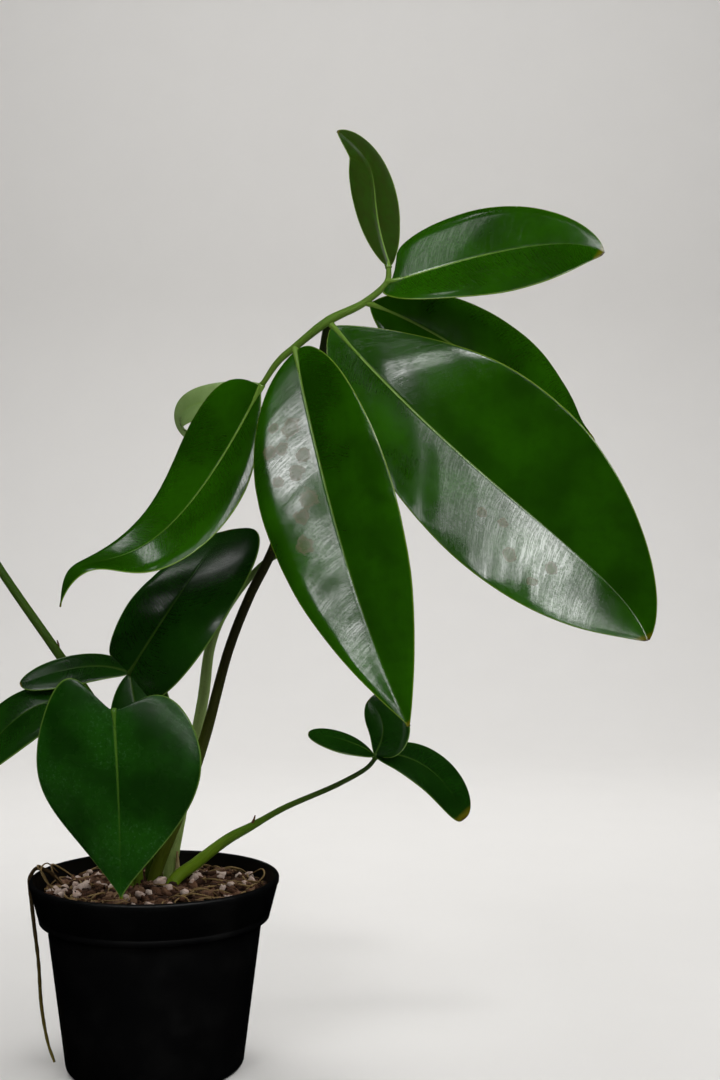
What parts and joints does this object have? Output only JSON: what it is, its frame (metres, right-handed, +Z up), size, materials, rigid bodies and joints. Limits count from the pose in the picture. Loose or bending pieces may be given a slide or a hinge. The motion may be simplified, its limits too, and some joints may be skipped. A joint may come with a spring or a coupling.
{
  "type": "potted philodendron goeldii",
  "caption": "Young Philodendron goeldii: a tall stalk with a bow-shaped rachis of drooping glossy leaflets and smaller juvenile leaves, growing in bark mix in a round black nursery pot.",
  "frame": {"origin": "middle of the pot's flat underside, on the surface it stands on", "axes": "+Z up along the pot's axis; the big leaf leans to +X and the upper faces of its leaflets look to -Y"},
  "size_m": [0.3606, 0.2098, 0.4108],
  "materials": {
    "pot": "black satin plastic",
    "soil": "damp bark and perlite mix",
    "root": "dry brown root",
    "leaf": "glossy green leaf",
    "dark_leaf": "dark glossy green leaf",
    "brown_stem": "satin olive-brown stalk",
    "green_stem": "satin green stalk",
    "pale_stem": "satin pale green stalk"
  },
  "bodies": {
    "root": {"pot": "pot", "soil": "soil", "hanging_root": "root", "leaf_a_petiole": "brown_stem", "leaf_g_petiole": "pale_stem", "scale_leaf": "pale_stem", "leaf_b_petiole": "green_stem", "leaf_c_petiole": "green_stem", "leaf_d_petiole": "green_stem", "leaf_e_petiole": "green_stem", "leaf_f_petiole": "green_stem", "leaf_a_leaflet_1": "leaf", "leaf_a_leaflet_2": "leaf", "leaf_a_leaflet_3": "leaf", "leaf_a_leaflet_4": "leaf", "leaf_a_leaflet_5": "leaf", "leaf_a_leaflet_6": "leaf", "leaf_a_leaflet_7": "leaf", "leaf_b_blade": "dark_leaf", "leaf_c_blade": "dark_leaf", "leaf_d_blade": "dark_leaf", "leaf_e_blade": "dark_leaf", "leaf_f_blade": "dark_leaf", "leaf_g_blade": "dark_leaf"}
  },
  "joints": []
}
